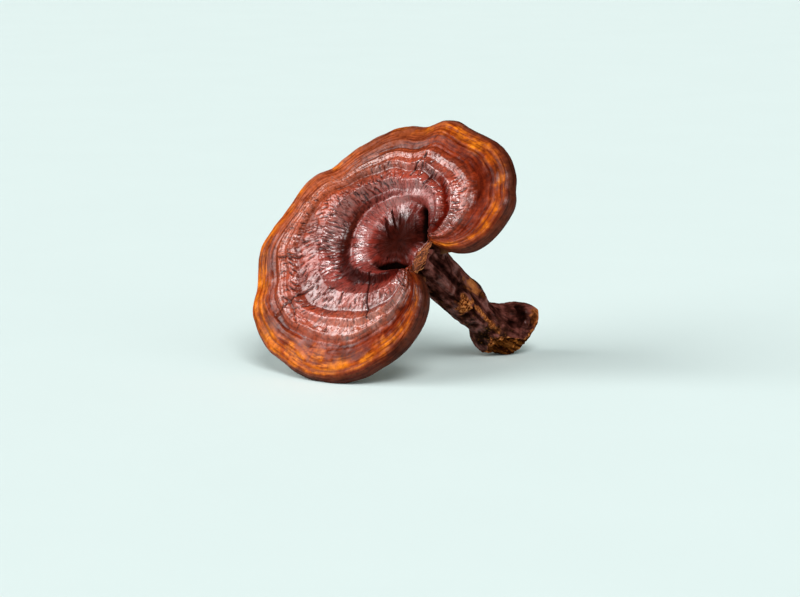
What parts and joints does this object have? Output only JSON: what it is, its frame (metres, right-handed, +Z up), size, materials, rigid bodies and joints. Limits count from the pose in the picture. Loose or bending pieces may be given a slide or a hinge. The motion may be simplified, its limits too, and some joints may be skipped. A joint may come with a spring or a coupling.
{
  "type": "dried reishi mushroom",
  "caption": "Kidney-shaped, ringed and lacquered bracket cap on a short gnarled stem, lying over on the cap's margin and the stem's torn foot.",
  "frame": {"origin": "middle of the bounding box in X and Y, at the height of the surface it rests on", "axes": "+Z up, resting as in the picture; the picture looks along +Y at the cap's upper face, with +X to the right"},
  "size_m": [0.1334, 0.0893, 0.115],
  "materials": {
    "lacquered_cap": "natural lacquer gloss, maroon at the hub through red-brown to an amber margin",
    "stem_rind": "satin brown-black rind with rough ochre patches"
  },
  "bodies": {
    "root": {"cap": "lacquered_cap", "stem": "stem_rind"}
  },
  "joints": []
}
